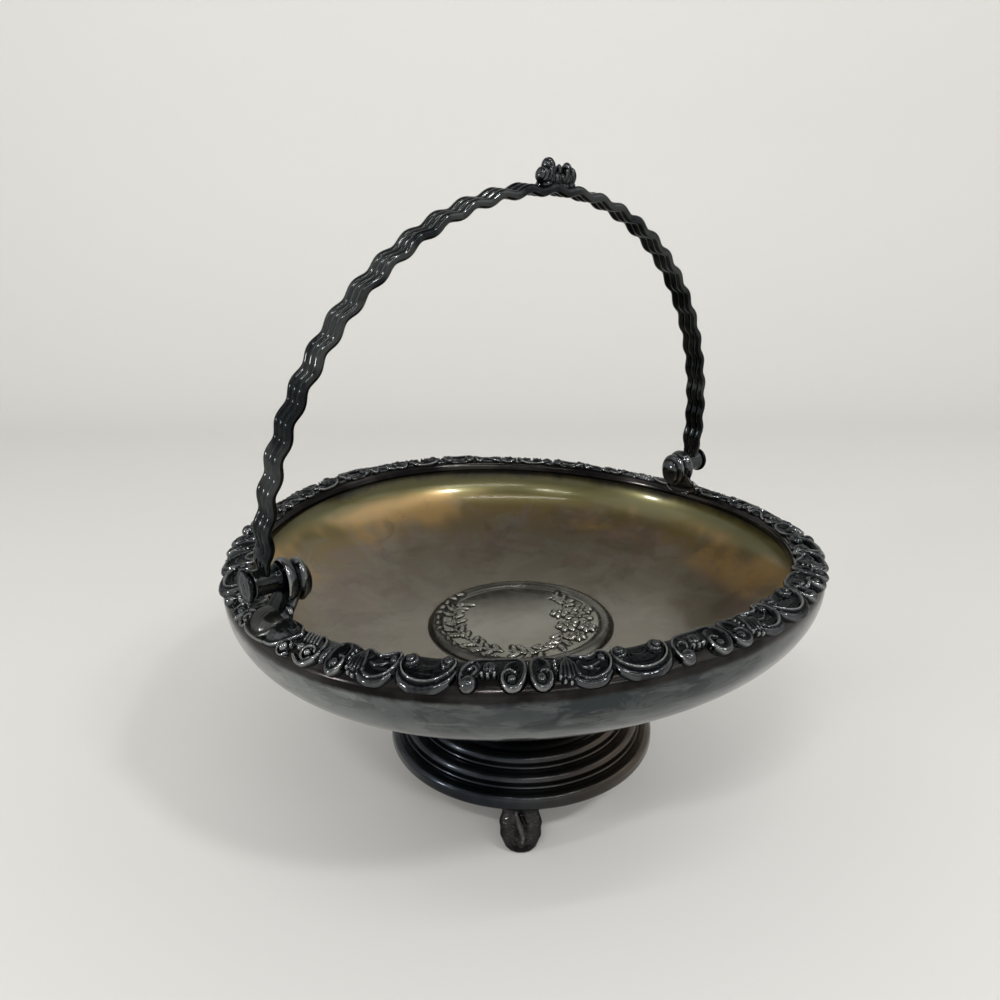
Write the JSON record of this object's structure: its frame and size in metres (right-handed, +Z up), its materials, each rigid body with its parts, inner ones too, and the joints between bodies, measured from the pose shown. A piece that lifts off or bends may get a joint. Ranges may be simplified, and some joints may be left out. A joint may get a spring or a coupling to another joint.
{
  "type": "brides basket",
  "caption": "Footed silver-plate basket with a round bowl, cast scroll border, stepped pedestal on shell feet and a swing bail of three crimped rods.",
  "frame": {"origin": "on the table under the middle of the bowl", "axes": "+Z up, X along the hinge line of the bail, -Y the side that the bail leans to at rest"},
  "size_m": [0.2564, 0.254, 0.2728],
  "materials": {
    "bowl_plate": "worn silver plate with brown and golden tarnish",
    "border_plate": "cast silver plate, oxidised nearly black in the recesses",
    "bail_plate": "crimped plated rods, oxidised dark grey",
    "base_plate": "spun silver plate, dark brown tarnish"
  },
  "bodies": {
    "basket": {"bowl": "bowl_plate", "rim_scroll_1": "border_plate", "rim_scroll_2": "border_plate", "rim_scroll_3": "border_plate", "rim_scroll_4": "border_plate", "rim_scroll_5": "border_plate", "rim_scroll_6": "border_plate", "rim_scroll_7": "border_plate", "rim_scroll_8": "border_plate", "rim_scroll_9": "border_plate", "rim_scroll_10": "border_plate", "rim_leaf_1": "border_plate", "rim_leaf_2": "border_plate", "hinge_lug_1": "border_plate", "hinge_lug_2": "border_plate", "hinge_pin_1": "border_plate", "hinge_pin_2": "border_plate", "centre_medallion": "bowl_plate", "pedestal": "base_plate", "foot_1": "base_plate", "foot_2": "base_plate", "foot_3": "base_plate"},
    "bail": {"bail_knuckle_1": "bail_plate", "bail_knuckle_2": "bail_plate", "bail_strand_1": "bail_plate", "bail_strand_2": "bail_plate", "bail_strand_3": "bail_plate", "bail_finial": "bail_plate"}
  },
  "joints": [
    {"name": "bail_swing", "type": "hinge", "parent": "basket", "child": "bail", "pos_m": [0, 0, 0.12976], "axis": [1, 0, 0], "range_deg": [-98, 84]}
  ]
}
